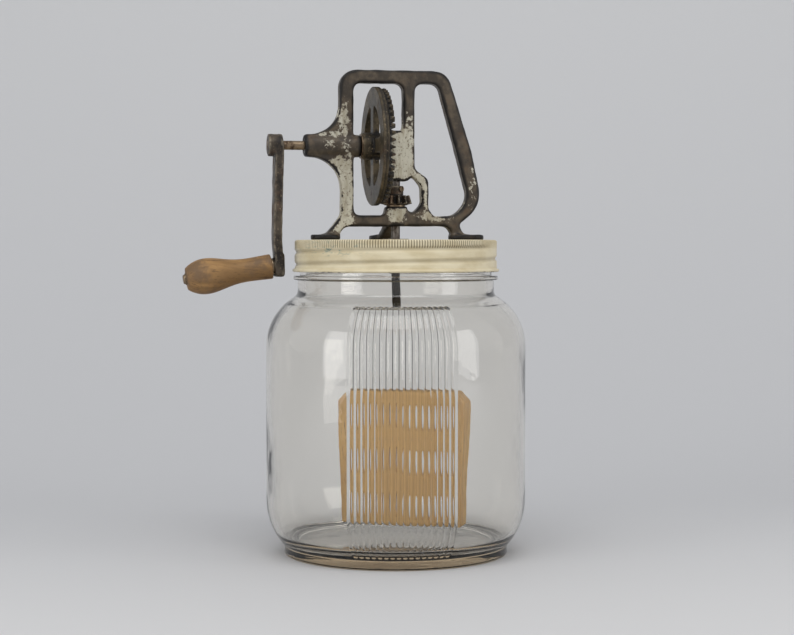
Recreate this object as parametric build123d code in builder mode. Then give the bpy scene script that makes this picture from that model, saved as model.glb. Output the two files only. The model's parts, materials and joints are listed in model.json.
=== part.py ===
from build123d import *
import os
from math import acos, asin, atan2, cos, degrees, pi, radians, sin, tan

os.makedirs("parts", exist_ok=True)

# A glass jar butter churn. Millimetres, +Z up. The origin is the centre of the jar's foot on the
# table. The crank shaft lies along X with the crank on the -X side, and the fluted band faces -Y.

# Jar
jar_radius = 90.8
jar_wall = 4.0
jar_foot_radius = 78.2
jar_foot_step = 0.8
jar_floor = 9.0
heel_radius = 47.0
heel_top = 38.0
shoulder_radius = 40.0
shoulder_bottom = 145.0
neck_radius = 68.6
neck_wall = 5.0
bead_proud = 2.9
bead_drop = 25.6
bead_height = 3.0
finish_step = 1.4
rim_height = 216.8

# Flutes in the front of the jar
flute_count = 16
flute_pitch_angle = 2.95
flute_band_azimuth = -9.3
flute_radius = 4.0
flute_depth = 0.85
flute_heel_angle = -36.0
flute_shoulder_angle = 44.0

# Screw thread, shared by jar and cap
thread_pitch = 8.4
thread_sink = 0.3
jar_thread_height = 2.0
jar_thread_root = 3.4
jar_thread_crest = 1.4
jar_thread_turns = 1.5
thread_drop = 14.6
cap_roll_gap = 1.6
cap_roll_root = 3.6
cap_roll_crest = 1.6
cap_roll_turns = 1.65
cap_roll_lead = 90.0
cap_groove_depth = 0.7
cap_groove_width = 2.6
cap_groove_floor = 1.0

# Cap, seal and bush
cap_clearance = 0.8
cap_tin = 0.6
cap_corner = 1.6
cap_height = 22.2
cap_curl_radius = 1.1
seal_thickness = 1.6
seal_width = 3.4
bush_radius = 6.0
bush_flange_radius = 9.0
bush_flange = 0.8
bush_depth = 4.0

# Clearances
running_gap = 0.05
side_gap = 0.3

# Gear frame casting: X places, and heights above the cap
plate_thickness = 9.0
axle_height = 65.1
post_left = -40.2
post_width = 9.5
lower_post_width = 8.5
window_right = 4.9
middle_post_width = 7.7
top_bar = 8.9
rail_bottom = 9.8
rail_thickness = 7.2
boss_radius = 7.75
boss_left = -65.0
boss_proud = 2.0
boss_right = -25.3
upper_bearing_radius = 6.3
bearing_gap = 3.2
upper_bearing_length = 35.0
bearing_cap = 3.0
lower_bearing_radius = 7.5
ear_reach = 22.7
ear_width = 5.2
ear_floor = 19.0
grip_top_reach = 36.0
grip_bend_reach = 53.6
grip_bend_height = 62.5
grip_reach = 61.6
grip_reach_height = 24.3
grip_bar = 10.0
grip_floor = 16.8
foot_thickness = 3.6
foot_width = 17.0
left_foot_ends = (-60.2, -39.5)
right_foot_ends = (38.0, 63.3)
rear_foot_reach = 50.0
rear_foot_length = 20.0
rear_leg_width = 9.0
foot_screw_radius = 2.0
foot_screw_grip = 2.6
screw_head_radius = 3.8
screw_head_height = 2.2
screw_slot = 1.0
foot_washer_radius = 4.6
foot_washer_thickness = 0.8

# Bevel gears, whose axes meet at one apex
gear_teeth = 48
pinion_teeth = 12
gear_pitch_radius = 40.5
tooth_face = 7.0
tooth_inset = 0.4
tooth_share = 0.40
gear_flank_angle = 20.0
pinion_flank_angle = 12.0
dedendum_factor = 1.25
gear_back = -17.0
gear_rim_proud = 0.8
gear_rim_inner = 28.5
gear_rim_edge = 4.0
gear_clearance = 2.4
gear_web = 4.5
gear_hub_radius = 9.5
gear_hub_right = -11.0
spoke_count = 4
spoke_width = 10.0
window_rounding = 2.5
gear_washer_thickness = 0.8
gear_washer_radius = 8.6
gear_pin_radius = 1.6
pinion_hub_radius = 5.4
pinion_hub_height = 13.7
pinion_washer_radius = 6.6
pinion_washer_thickness = 0.8
pinion_screw_radius = 1.95
pinion_screw_proud = 0.7
pinion_screw_turn = -55.0

# Crank
crank_shaft_radius = 3.15
eye_radius = 7.7
eye_left = -90.0
eye_length = 10.0
crank_throw = 82.6
arm_middle = -82.5
arm_thickness = 6.0
arm_bow = 1.5
arm_bow_height = 17.0
arm_top_width = 14.4
arm_bottom_width = 11.5
block_height = 16.0
block_thickness = 6.8
block_rounding = 1.2
arm_pin_radius = 1.4

# Turned grip on its tilted rod: radii at distances from its crank end
grip_tilt = 8.4
grip_length = 59.0
grip_profile = ((0.0, 8.6), (12.7, 8.1), (22.6, 8.3), (33.0, 10.2), (43.0, 12.2), (49.6, 11.9), (55.4, 9.8))
grip_end_radius = 7.4
handle_rod_radius = 2.6
collar_radius = 5.6
collar_thickness = 1.0
grip_washer_radius = 3.9
grip_washer_thickness = 0.9
rod_head_radius = 3.3
rod_head_height = 1.4

# Dasher
dasher_radius = 3.0
dasher_end_gap = 1.0
paddle_clearance = 10.5
paddle_height = 94.5
paddle_top_width = 92.0
paddle_bottom_width = 87.0
paddle_thickness = 19.0
paddle_turn = -30.0
paddle_offset = 6.0
paddle_corner = 7.0
paddle_rounding = 1.5
paddle_rows = 3
paddle_row_pitch = 31.3
paddle_hole_radius = 8.75
paddle_top_rail = 9.5
paddle_margin = 4.6
dasher_seat = 40.0
paddle_pin_radius = 1.2


def on_arc(center, radius, angle):
    """A point of a circle in a section plane, with the angle in degrees."""
    return (center[0] + radius * cos(radians(angle)), center[1] + radius * sin(radians(angle)))


def arc_between(center, radius, start, end):
    """The part of a circle from one angle to another, added to the BuildLine in use."""
    middle = on_arc(center, radius, (start + end) / 2)
    return ThreePointArc(on_arc(center, radius, start), middle, on_arc(center, radius, end))


def rounded_outline(corners):
    """A closed outline through corners of x, y and rounding, added to the BuildLine in use."""
    return FilletPolyline(
        [(x, y) for x, y, rounding in corners],
        radius=[rounding for x, y, rounding in corners],
        close=True,
    )


def thread_section(root_radius, crest_radius, root_width, crest_width):
    """Corners of a thread's trapezoid, as radius and height about its middle."""
    return [
        (root_radius, -root_width / 2),
        (crest_radius, -crest_width / 2),
        (crest_radius, crest_width / 2),
        (root_radius, root_width / 2),
    ]


def swept_thread(section, start_height, turns, start_angle):
    """A right-hand helical ridge with the given section, as a part."""
    with BuildPart() as ridge:
        with BuildLine() as path:
            Helix(thread_pitch, thread_pitch * turns, finish_radius, center=(0, 0, start_height))
        with BuildSketch(Plane.XZ):
            with BuildLine():
                Polyline([(radius, height + start_height) for radius, height in section], close=True)
            make_face()
        sweep(path=path.wires()[0], is_frenet=True)
    return ridge.part.rotate(Axis.Z, start_angle)


# Places that follow from the sizes
bead_bottom = rim_height - bead_drop
finish_radius = neck_radius - finish_step
thread_start = rim_height - thread_drop
cap_inner = finish_radius + jar_thread_height + cap_clearance
cap_radius = cap_inner + cap_tin
cap_top = rim_height + seal_thickness + cap_tin
cap_bottom = cap_top - cap_height
paddle_bottom = jar_floor + paddle_clearance
axle_z = cap_top + axle_height
axle = Axis((0, 0, axle_z), (1, 0, 0))
axle_section = Plane(origin=(0, 0, axle_z), x_dir=(1, 0, 0), z_dir=(0, -1, 0))
heel_center = (jar_radius - heel_radius, heel_top)
shoulder_center = (jar_radius - shoulder_radius, shoulder_bottom)
neck_bore = neck_radius - neck_wall
inner_heel = heel_radius - jar_wall
inner_shoulder = shoulder_radius - jar_wall
heel_start = -degrees(acos((jar_foot_radius + jar_foot_step - heel_center[0]) / heel_radius))
shoulder_end = degrees(acos((neck_radius - shoulder_center[0]) / shoulder_radius))
inner_heel_start = -degrees(asin((heel_top - jar_floor) / inner_heel))
inner_shoulder_end = degrees(acos((neck_bore - shoulder_center[0]) / inner_shoulder))


def across_axle(x):
    """The plane square to the crank shaft at x, with local x along Y and local y up."""
    return Plane(origin=(x, 0, axle_z), x_dir=(0, 1, 0), z_dir=(1, 0, 0))


# One flute of the jar, along the wall from heel to shoulder
flute_offset = flute_radius - flute_depth
with BuildPart() as flute:
    with BuildLine(Plane.XZ) as flute_path:
        low_bend = arc_between(heel_center, heel_radius + flute_offset, flute_heel_angle, 0)
        high_bend = arc_between(shoulder_center, shoulder_radius + flute_offset, 0, flute_shoulder_angle)
        Line(low_bend @ 1, high_bend @ 0)
    flute_wire = flute_path.wires()[0]
    with BuildSketch(Plane(origin=flute_wire @ 0, z_dir=flute_wire % 0)):
        Circle(flute_radius)
    sweep(path=flute_wire)
first_flute = flute_band_azimuth - 90 - flute_pitch_angle * (flute_count - 1) / 2
flutes = [flute.part.rotate(Axis.Z, first_flute + flute_pitch_angle * k) for k in range(flute_count)]

# Glass jar
jar_thread = swept_thread(
    thread_section(
        finish_radius - thread_sink, finish_radius + jar_thread_height, jar_thread_root, jar_thread_crest
    ),
    thread_start,
    jar_thread_turns,
    0,
)
with BuildPart() as glass_jar:
    with BuildSketch(Plane.XZ):
        with BuildLine():
            outer_heel = arc_between(heel_center, heel_radius, heel_start, 0)
            outer_shoulder = arc_between(shoulder_center, shoulder_radius, 0, shoulder_end)
            bore_shoulder = arc_between(shoulder_center, inner_shoulder, inner_shoulder_end, 0)
            bore_heel = arc_between(heel_center, inner_heel, 0, inner_heel_start)
            Line(outer_heel @ 1, outer_shoulder @ 0)
            Polyline(
                outer_shoulder @ 1,
                (neck_radius, bead_bottom),
                (neck_radius + bead_proud, bead_bottom),
                (neck_radius + bead_proud, bead_bottom + bead_height),
                (finish_radius, bead_bottom + bead_height),
                (finish_radius, rim_height),
                (neck_bore, rim_height),
                bore_shoulder @ 0,
            )
            Line(bore_shoulder @ 1, bore_heel @ 0)
            Polyline(
                bore_heel @ 1,
                (0, jar_floor),
                (0, 0),
                (jar_foot_radius, 0),
                (jar_foot_radius, (outer_heel @ 0).Y),
                outer_heel @ 0,
            )
        make_face()
    revolve(axis=Axis.Z)
    add(flutes, mode=Mode.SUBTRACT)
    add(jar_thread)
glass_jar.part.label = "glass_jar"
export_step(glass_jar.part, "parts/glass_jar.step")

# Sealing ring, flat on the jar's rim
with BuildPart() as sealing_ring:
    with BuildSketch(Plane.XY.offset(rim_height)):
        Circle(neck_bore + seal_width)
        Circle(neck_bore + side_gap, mode=Mode.SUBTRACT)
    extrude(amount=seal_thickness)
sealing_ring.part.label = "sealing_ring"
export_step(sealing_ring.part, "parts/sealing_ring.step")

# Feet of the gear frame: the middle of each and its length, with the screws under the middles
left_foot = ((left_foot_ends[0] + left_foot_ends[1]) / 2, 0)
right_foot = ((right_foot_ends[0] + right_foot_ends[1]) / 2, 0)
rear_foot = (0, rear_foot_reach)
foot_places = (left_foot, right_foot, rear_foot)
foot_lengths = (
    left_foot_ends[1] - left_foot_ends[0],
    right_foot_ends[1] - right_foot_ends[0],
    rear_foot_length,
)
foot_turns = (0, 0, 90)

# Screw cap: a tin shell with a curled lower edge and a rolled thread
cap_roll_start = thread_start - thread_pitch / 2 + thread_pitch * cap_roll_lead / 360
cap_roll = swept_thread(
    thread_section(cap_radius - cap_tin / 2, finish_radius + cap_roll_gap, cap_roll_root, cap_roll_crest),
    cap_roll_start,
    cap_roll_turns,
    cap_roll_lead,
)
cap_groove = swept_thread(
    thread_section(cap_radius + thread_sink, cap_radius - cap_groove_depth, cap_groove_width, cap_groove_floor),
    cap_roll_start,
    cap_roll_turns,
    cap_roll_lead,
)
with BuildPart() as screw_cap:
    with BuildSketch(Plane.XY.offset(cap_bottom)):
        Circle(cap_radius)
    extrude(amount=cap_top - cap_bottom)
    fillet(screw_cap.edges().group_by(Axis.Z)[-1], cap_corner)
    with BuildSketch(Plane.XY.offset(cap_bottom)):
        Circle(cap_inner)
    extrude(amount=cap_top - cap_tin - cap_bottom, mode=Mode.SUBTRACT)
    with BuildSketch(Plane.XZ):
        with Locations((cap_inner + cap_curl_radius, cap_bottom + cap_curl_radius)):
            Circle(cap_curl_radius)
    revolve(axis=Axis.Z)
    add(cap_roll)
    add(cap_groove, mode=Mode.SUBTRACT)
    with BuildSketch(Plane.XY.offset(cap_top - cap_tin)):
        Circle(bush_radius + running_gap)
        with Locations(*foot_places):
            Circle(foot_screw_radius)
    extrude(amount=cap_tin, mode=Mode.SUBTRACT)
screw_cap.part.label = "screw_cap"
export_step(screw_cap.part, "parts/screw_cap.step")

# Flanged bush in the middle of the cap
with BuildPart() as cap_bush:
    with BuildSketch(Plane.XY.offset(cap_top)):
        Circle(bush_flange_radius)
    extrude(amount=bush_flange)
    with BuildSketch(Plane.XY.offset(cap_top - bush_depth)):
        Circle(bush_radius)
    extrude(amount=bush_depth)
    with BuildSketch(Plane.XY.offset(cap_top - bush_depth)):
        Circle(dasher_radius + running_gap)
    extrude(amount=bush_depth + bush_flange, mode=Mode.SUBTRACT)
cap_bush.part.label = "cap_bush"
export_step(cap_bush.part, "parts/cap_bush.step")

# The pair of gears, which sets the frame's top and both bearings of the dasher shaft
module = 2 * gear_pitch_radius / gear_teeth
pinion_pitch_radius = module * pinion_teeth / 2
dedendum = dedendum_factor * module
cone_angle = atan2(gear_pitch_radius, pinion_pitch_radius)
cone_length = gear_pitch_radius / sin(cone_angle)
gear_rim_radius = gear_pitch_radius + gear_rim_proud
pinion_foot = axle_z - gear_pitch_radius - dedendum * cos(cone_angle)
pinion_hub_top = pinion_foot + pinion_hub_height

# Gear frame: one casting about the plane Y = 0
window_top = axle_z + gear_rim_radius + gear_clearance
frame_top = window_top + top_bar
rail_z = cap_top + rail_bottom
rail_top = rail_z + rail_thickness
foot_top = cap_top + foot_thickness
upper_bearing_z = pinion_hub_top + bearing_gap
upper_bearing_end = upper_bearing_z + upper_bearing_length
lower_bearing_end = pinion_foot - pinion_washer_thickness
boss_low = axle_z - boss_radius
boss_high = axle_z + boss_radius
window_left = post_left + post_width
lower_post_left = window_left - lower_post_width
middle_post_right = window_right + middle_post_width
foot_root = foot_width / 4

outline_corners = (
    (post_left, frame_top, 12.0),
    (grip_top_reach, frame_top, 12.5),
    (grip_bend_reach, cap_top + grip_bend_height, 60.0),
    (grip_reach, cap_top + grip_reach_height, 20.0),
    (right_foot_ends[0] + 6.6, rail_z + 1.1, 2.6),
    (right_foot_ends[0] + 10.0, foot_top + 0.6, 3.0),
    (right_foot_ends[1] - foot_root, foot_top - 0.3, 0.0),
    (right_foot_ends[1] - foot_root, cap_top, 0.0),
    (right_foot_ends[0] + foot_root, cap_top, 0.0),
    (right_foot_ends[0] - 1.5, rail_z, 6.0),
    (left_foot_ends[1] + 2.5, rail_z - 0.6, 6.0),
    (left_foot_ends[1] - foot_root, cap_top, 0.0),
    (left_foot_ends[0] + foot_root, cap_top, 0.0),
    (left_foot_ends[0] + foot_root, foot_top - 0.3, 0.0),
    (left_foot_ends[1] - 9.5, foot_top + 1.2, 3.0),
    (lower_post_left, rail_top, 8.0),
    (lower_post_left, boss_low, 22.0),
    (boss_left + boss_proud, boss_low, 0.0),
    (boss_left + boss_proud, boss_high, 0.0),
    (post_left, boss_high, 21.0),
)
gear_window_corners = (
    (window_left, window_top, 5.5),
    (window_right, window_top, 5.8),
    (window_right, upper_bearing_end, 2.5),
    (-upper_bearing_radius, upper_bearing_end, 2.2),
    (-upper_bearing_radius, upper_bearing_z, 2.2),
    (middle_post_right - 5.0, upper_bearing_z, 1.5),
    (middle_post_right - 1.2, upper_bearing_z + 3.6, 2.2),
    (ear_reach - ear_width, upper_bearing_z - 3.5, 5.0),
    (ear_reach - ear_width + 0.4, cap_top + ear_floor + 6.0, 6.0),
    (middle_post_right - 1.0, cap_top + ear_floor - 0.6, 2.8),
    (lower_bearing_radius, lower_bearing_end - 2.6, 1.5),
    (lower_bearing_radius, lower_bearing_end, 0.6),
    (-lower_bearing_radius, lower_bearing_end, 0.6),
    (-lower_bearing_radius - 1.0, rail_top, 3.0),
    (window_left, rail_top, 4.0),
)
grip_window_corners = (
    (middle_post_right, window_top + 0.2, 6.0),
    (grip_top_reach - 6.4, window_top + 0.2, 6.0),
    (grip_bend_reach - grip_bar - 0.6, cap_top + grip_bend_height - 1.5, 60.0),
    (grip_reach - grip_bar + 0.2, cap_top + grip_reach_height + 3.6, 14.0),
    (grip_reach - 20.0, cap_top + grip_floor, 12.0),
    (ear_reach + 4.0, cap_top + grip_floor - 0.4, 3.0),
    (ear_reach, cap_top + ear_floor + 2.4, 3.0),
    (ear_reach, upper_bearing_z + 1.2, 6.0),
    (middle_post_right, upper_bearing_z + 8.4, 6.0),
)
with BuildPart() as gear_frame:
    with BuildSketch(Plane.XZ):
        with BuildLine():
            rounded_outline(outline_corners)
        make_face()
        with BuildLine():
            rounded_outline(gear_window_corners)
        make_face(mode=Mode.SUBTRACT)
        with BuildLine():
            rounded_outline(grip_window_corners)
        make_face(mode=Mode.SUBTRACT)
    extrude(amount=plate_thickness / 2, both=True)
    with BuildSketch(across_axle(boss_left)):
        Circle(boss_radius)
    extrude(amount=boss_right - boss_left)
    with BuildSketch(Plane.XY.offset(upper_bearing_z)):
        Circle(upper_bearing_radius)
    extrude(amount=upper_bearing_end - upper_bearing_z)
    with BuildSketch(Plane.XY.offset(rail_z)):
        Circle(lower_bearing_radius)
    extrude(amount=lower_bearing_end - rail_z)
    # Rear leg
    with BuildSketch(Plane.YZ):
        with BuildLine():
            Polyline(
                (0, rail_top - 0.5),
                (plate_thickness / 2 + 5, rail_top - 1.0),
                (rear_foot_reach - rear_foot_length / 2, foot_top + 1.0),
                (rear_foot_reach, foot_top),
                (rear_foot_reach, cap_top),
                (rear_foot_reach - rear_foot_length / 2, cap_top),
                (plate_thickness / 2 + 3, rail_z),
                (0, rail_z),
                close=True,
            )
        make_face()
    extrude(amount=rear_leg_width / 2, both=True)
    # Foot pads
    for place, length, turn in zip(foot_places, foot_lengths, foot_turns):
        with BuildSketch(Plane.XY.offset(cap_top)):
            with Locations(Location(place, turn)):
                SlotOverall(length, foot_width)
        extrude(amount=foot_thickness)
    # Bores for the two shafts and the screws in the feet
    with BuildSketch(across_axle(boss_left)):
        Circle(crank_shaft_radius + running_gap)
    extrude(amount=boss_right - boss_left, mode=Mode.SUBTRACT)
    with BuildSketch(Plane.XY.offset(cap_top)):
        Circle(dasher_radius + running_gap)
    extrude(amount=upper_bearing_end - bearing_cap - cap_top, mode=Mode.SUBTRACT)
    with BuildSketch(Plane.XY.offset(cap_top)):
        with Locations(*foot_places):
            Circle(foot_screw_radius)
    extrude(amount=foot_screw_grip, mode=Mode.SUBTRACT)
gear_frame.part.label = "gear_frame"
export_step(gear_frame.part, "parts/gear_frame.step")

# Screws and washers that hold the feet, under the cap's top
washer_z = cap_top - cap_tin - foot_washer_thickness
with BuildPart() as foot_washers:
    with BuildSketch(Plane.XY.offset(washer_z)):
        with Locations(*foot_places):
            Circle(foot_washer_radius)
        with Locations(*foot_places):
            Circle(foot_screw_radius, mode=Mode.SUBTRACT)
    extrude(amount=foot_washer_thickness)
foot_washers.part.label = "foot_washers"
export_step(foot_washers.part, "parts/foot_washers.step")

with BuildPart() as foot_screws:
    with BuildSketch(Plane.XY.offset(washer_z - screw_head_height)):
        with Locations(*foot_places):
            Circle(screw_head_radius)
    extrude(amount=screw_head_height)
    with BuildSketch(Plane.XY.offset(washer_z)):
        with Locations(*foot_places):
            Circle(foot_screw_radius)
    extrude(amount=cap_top + foot_screw_grip - washer_z)
    with BuildSketch(Plane.XY.offset(washer_z - screw_head_height)):
        with Locations(*foot_places):
            Rectangle(2 * screw_head_radius, screw_slot)
    extrude(amount=screw_head_height / 2, mode=Mode.SUBTRACT)
foot_screws.part.label = "foot_screws"
export_step(foot_screws.part, "parts/foot_screws.step")

# Bevel gear teeth: each is lofted between two sections whose lines all run to the apex
inner_scale = 1 - tooth_face / cone_length
end_inset = tooth_inset / cone_length
half_tooth = tooth_share * pi * module / 2


def mesh_plane(scale):
    """The section plane across the line of mesh, below the apex, at a share of the cone length."""
    return Plane(
        origin=(-pinion_pitch_radius * scale, 0, axle_z - gear_pitch_radius * scale),
        x_dir=(0, 1, 0),
        z_dir=(-cos(cone_angle), 0, -sin(cone_angle)),
    )


def bevel_tooth(direction, flank_angle):
    """One tooth in the line of mesh. Direction 1 is a gear tooth and -1 a pinion tooth."""
    flank = tan(radians(flank_angle))
    root = dedendum + module / 3
    tip_half = half_tooth - module * flank
    root_half = half_tooth + root * flank
    corners = [(-root_half, -root), (-tip_half, module), (tip_half, module), (root_half, -root)]
    with BuildPart() as tooth:
        for scale in (1 - end_inset, inner_scale + end_inset):
            with BuildSketch(mesh_plane(scale)):
                with BuildLine():
                    Polyline([(x * scale, direction * y * scale) for x, y in corners], close=True)
                make_face()
        loft()
    return tooth.part


def along_cone(scale, depth):
    """X offset and radius of the gear's root cone, a depth below the pitch cone."""
    x = -(pinion_pitch_radius + depth * sin(cone_angle)) * scale
    radius = (gear_pitch_radius - depth * cos(cone_angle)) * scale
    return (x, radius)


# Drive gear
gear_hub_left = boss_right + gear_washer_thickness
gear_pin_x = (gear_hub_left + gear_back) / 2
gear_tooth = bevel_tooth(1, gear_flank_angle)
gear_step = 360 / gear_teeth
with BuildPart() as drive_gear:
    with BuildSketch(axle_section):
        with BuildLine():
            Polyline(
                (gear_back, gear_rim_inner),
                (gear_back, gear_rim_radius),
                (gear_back + gear_rim_edge, gear_rim_radius),
                along_cone(1, dedendum),
                along_cone(inner_scale, dedendum),
                (gear_back + gear_web, gear_rim_inner),
                close=True,
            )
        make_face()
    revolve(axis=axle)
    with BuildSketch(across_axle(gear_back)) as web:
        Circle(gear_rim_inner)
    extrude(amount=gear_web)
    with BuildSketch(across_axle(gear_back)) as windows:
        Circle(gear_rim_inner)
        Circle(gear_hub_radius, mode=Mode.SUBTRACT)
        with PolarLocations(0, spoke_count):
            Rectangle(gear_rim_radius, spoke_width, align=(Align.MIN, Align.CENTER), mode=Mode.SUBTRACT)
        fillet(windows.vertices(), window_rounding)
    extrude(amount=gear_web, mode=Mode.SUBTRACT)
    with BuildSketch(across_axle(gear_hub_left)):
        Circle(gear_hub_radius)
    extrude(amount=gear_hub_right - gear_hub_left)
    add([gear_tooth.rotate(axle, gear_step * (k + 0.5)) for k in range(gear_teeth)])
    with BuildSketch(across_axle(gear_hub_left)):
        Circle(crank_shaft_radius)
    extrude(amount=gear_hub_right - gear_hub_left, mode=Mode.SUBTRACT)
    with BuildSketch(Plane.XY.offset(axle_z - gear_hub_radius)):
        with Locations((gear_pin_x, 0)):
            Circle(gear_pin_radius)
    extrude(amount=2 * gear_hub_radius, mode=Mode.SUBTRACT)
drive_gear.part.label = "drive_gear"
export_step(drive_gear.part, "parts/drive_gear.step")

# Thrust washer between boss and hub
with BuildPart() as gear_washer:
    with BuildSketch(across_axle(boss_right)):
        Circle(gear_washer_radius)
        Circle(crank_shaft_radius + running_gap, mode=Mode.SUBTRACT)
    extrude(amount=gear_washer_thickness)
gear_washer.part.label = "gear_washer"
export_step(gear_washer.part, "parts/gear_washer.step")

# Cross pins of the gear and of the crank arm
arm_pin_x = eye_left + eye_length / 2
pin_sink = 0.2
with BuildPart() as gear_pin:
    with BuildSketch(Plane.XY.offset(axle_z)):
        with Locations((gear_pin_x, 0)):
            Circle(gear_pin_radius)
    extrude(amount=gear_hub_radius - pin_sink, both=True)
gear_pin.part.label = "gear_pin"
export_step(gear_pin.part, "parts/gear_pin.step")

with BuildPart() as arm_pin:
    with BuildSketch(Plane.XY.offset(axle_z)):
        with Locations((arm_pin_x, 0)):
            Circle(arm_pin_radius)
    extrude(amount=eye_radius - pin_sink, both=True)
arm_pin.part.label = "arm_pin"
export_step(arm_pin.part, "parts/arm_pin.step")

# Crank shaft
with BuildPart() as crank_shaft:
    with BuildSketch(across_axle(eye_left)):
        Circle(crank_shaft_radius)
    extrude(amount=gear_hub_right - eye_left)
    for pin_x, pin_radius in ((gear_pin_x, gear_pin_radius), (arm_pin_x, arm_pin_radius)):
        with BuildSketch(Plane.XY.offset(axle_z)):
            with Locations((pin_x, 0)):
                Circle(pin_radius)
        extrude(amount=crank_shaft_radius, both=True, mode=Mode.SUBTRACT)
crank_shaft.part.label = "crank_shaft"
export_step(crank_shaft.part, "parts/crank_shaft.step")

# The grip's axis: it leaves the arm's block away from the jar and tilts down
block_z = axle_z - crank_throw
grip_direction = Vector(-cos(radians(grip_tilt)), 0, -sin(radians(grip_tilt)))
grip_axis = Axis((arm_middle, 0, block_z), grip_direction)
collar_reach = block_thickness / 2 + collar_radius * sin(radians(grip_tilt))
collar_start = collar_reach / cos(radians(grip_tilt)) + running_gap
grip_start = collar_start + collar_thickness + running_gap
grip_section = Plane(
    origin=(arm_middle, 0, block_z), x_dir=grip_direction, z_dir=Vector(0, 1, 0)
)


def across_grip(distance):
    """The plane square to the grip's axis, at a distance from the middle of the arm's block."""
    return Plane(origin=grip_axis.position + grip_direction * distance, z_dir=grip_direction)


# Crank arm: an eye, a bowed and tapered arm, and a block with a boss for the rod
bow_z = block_z + arm_bow_height
arm_half = arm_thickness / 2
rod_seat = block_thickness / 2 - 0.4
with BuildPart() as crank_arm:
    with BuildSketch(Plane.XZ):
        with BuildLine():
            rounded_outline(
                (
                    (arm_middle - arm_half, axle_z, 0.0),
                    (arm_middle - arm_half - arm_bow, bow_z, 20.0),
                    (arm_middle - arm_half, block_z, 0.0),
                    (arm_middle + arm_half, block_z, 0.0),
                    (arm_middle + arm_half - arm_bow, bow_z, 20.0),
                    (arm_middle + arm_half, axle_z, 0.0),
                )
            )
        make_face()
    extrude(amount=arm_top_width / 2, both=True)
    with BuildSketch(across_axle(eye_left)):
        with BuildLine():
            Polyline(
                (-arm_top_width / 2, 0),
                (arm_top_width / 2, 0),
                (arm_bottom_width / 2, -crank_throw),
                (-arm_bottom_width / 2, -crank_throw),
                close=True,
            )
        make_face()
    extrude(amount=2 * eye_length, mode=Mode.INTERSECT)
    with BuildSketch(across_axle(eye_left)):
        Circle(eye_radius)
    extrude(amount=eye_length)
    with BuildSketch(across_axle(arm_middle - block_thickness / 2)):
        with Locations((0, -crank_throw)):
            RectangleRounded(arm_bottom_width, block_height, 3)
    extrude(amount=block_thickness)
    with BuildSketch(across_grip(0)):
        Circle(collar_radius)
    extrude(amount=collar_start)
    with BuildSketch(across_grip(-rod_seat)):
        Circle(handle_rod_radius)
    extrude(amount=rod_seat + collar_start, mode=Mode.SUBTRACT)
    with BuildSketch(across_axle(eye_left)):
        Circle(crank_shaft_radius)
    extrude(amount=2 * eye_length, mode=Mode.SUBTRACT)
    with BuildSketch(Plane.XY.offset(axle_z)):
        with Locations((arm_pin_x, 0)):
            Circle(arm_pin_radius)
    extrude(amount=eye_radius, both=True, mode=Mode.SUBTRACT)
crank_arm.part.label = "crank_arm"
export_step(crank_arm.part, "parts/crank_arm.step")

# Collar between block and grip
with BuildPart() as grip_collar:
    with BuildSketch(across_grip(collar_start)):
        Circle(collar_radius)
        Circle(handle_rod_radius, mode=Mode.SUBTRACT)
    extrude(amount=collar_thickness)
grip_collar.part.label = "grip_collar"
export_step(grip_collar.part, "parts/grip_collar.step")

# Turned grip
grip_points = [(grip_start + s, radius) for s, radius in grip_profile]
grip_end = grip_start + grip_length
with BuildPart() as handle_grip:
    with BuildSketch(grip_section):
        with BuildLine():
            Spline(*grip_points, (grip_end, grip_end_radius))
            Polyline(
                (grip_end, grip_end_radius),
                (grip_end, handle_rod_radius + running_gap),
                (grip_start, handle_rod_radius + running_gap),
                grip_points[0],
            )
        make_face()
    revolve(axis=grip_axis)
handle_grip.part.label = "handle_grip"
export_step(handle_grip.part, "parts/handle_grip.step")

# Washer and rod of the grip, the rod with a peened head
washer_start = grip_end + running_gap
head_start = washer_start + grip_washer_thickness
with BuildPart() as grip_washer:
    with BuildSketch(across_grip(washer_start)):
        Circle(grip_washer_radius)
        Circle(handle_rod_radius, mode=Mode.SUBTRACT)
    extrude(amount=grip_washer_thickness)
grip_washer.part.label = "grip_washer"
export_step(grip_washer.part, "parts/grip_washer.step")

with BuildPart() as handle_rod:
    with BuildSketch(across_grip(-rod_seat)):
        Circle(handle_rod_radius)
    extrude(amount=rod_seat + head_start)
    with BuildSketch(across_grip(head_start)):
        Circle(rod_head_radius)
    extrude(amount=rod_head_height)
    head_rim = handle_rod.edges().filter_by(GeomType.CIRCLE).sort_by(Axis.X)[0]
    fillet(head_rim, rod_head_height * 0.8)
handle_rod.part.label = "handle_rod"
export_step(handle_rod.part, "parts/handle_rod.step")

# Pinion: its teeth end where its thrust washer lies on the lower bearing
pinion_crown = axle_z - (gear_pitch_radius + dedendum * cos(cone_angle)) * inner_scale
pinion_root_low = pinion_pitch_radius - dedendum * sin(cone_angle)
pinion_root_high = pinion_root_low * inner_scale
pinion_screw_z = (pinion_hub_top + axle_z - gear_pitch_radius * inner_scale + module) / 2
pinion_tooth = bevel_tooth(-1, pinion_flank_angle)
pinion_step = 360 / pinion_teeth
screw_axis = Vector(cos(radians(pinion_screw_turn)), sin(radians(pinion_screw_turn)), 0)


def across_screw(distance):
    """The plane square to the pinion's set screw, at a distance from the shaft's axis."""
    return Plane(origin=Vector(0, 0, pinion_screw_z) + screw_axis * distance, z_dir=screw_axis)


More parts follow.
